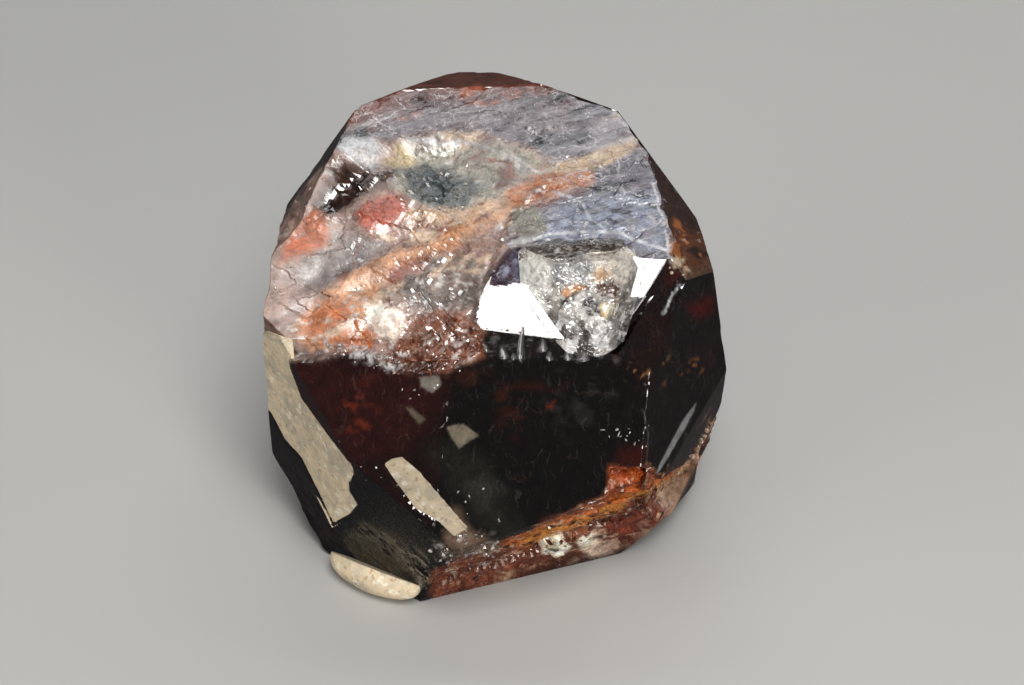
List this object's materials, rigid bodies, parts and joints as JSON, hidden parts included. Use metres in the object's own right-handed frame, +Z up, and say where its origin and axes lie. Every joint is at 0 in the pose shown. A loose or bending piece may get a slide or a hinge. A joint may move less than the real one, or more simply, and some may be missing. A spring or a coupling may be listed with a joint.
{
  "type": "zircon crystal",
  "caption": "Stout dark red-brown crystal with glossy flat faces, a chipped bevel, a broken banded slope and pale feldspar remnants, resting on a flat base.",
  "frame": {"origin": "centre of the footprint box, on the flat base", "axes": "+Z up, -Y towards the large dark front face, +X to the right seen from the front"},
  "size_m": [0.0232, 0.0252, 0.0222],
  "materials": {
    "zircon": "glossy, nearly black red-brown mineral with adamantine lustre",
    "feldspar": "dull cream mineral, slightly rough"
  },
  "bodies": {
    "root": {"zircon_crystal": "zircon", "feldspar_band_left": "feldspar", "feldspar_band_front": "feldspar", "feldspar_foot": "feldspar"}
  },
  "joints": []
}
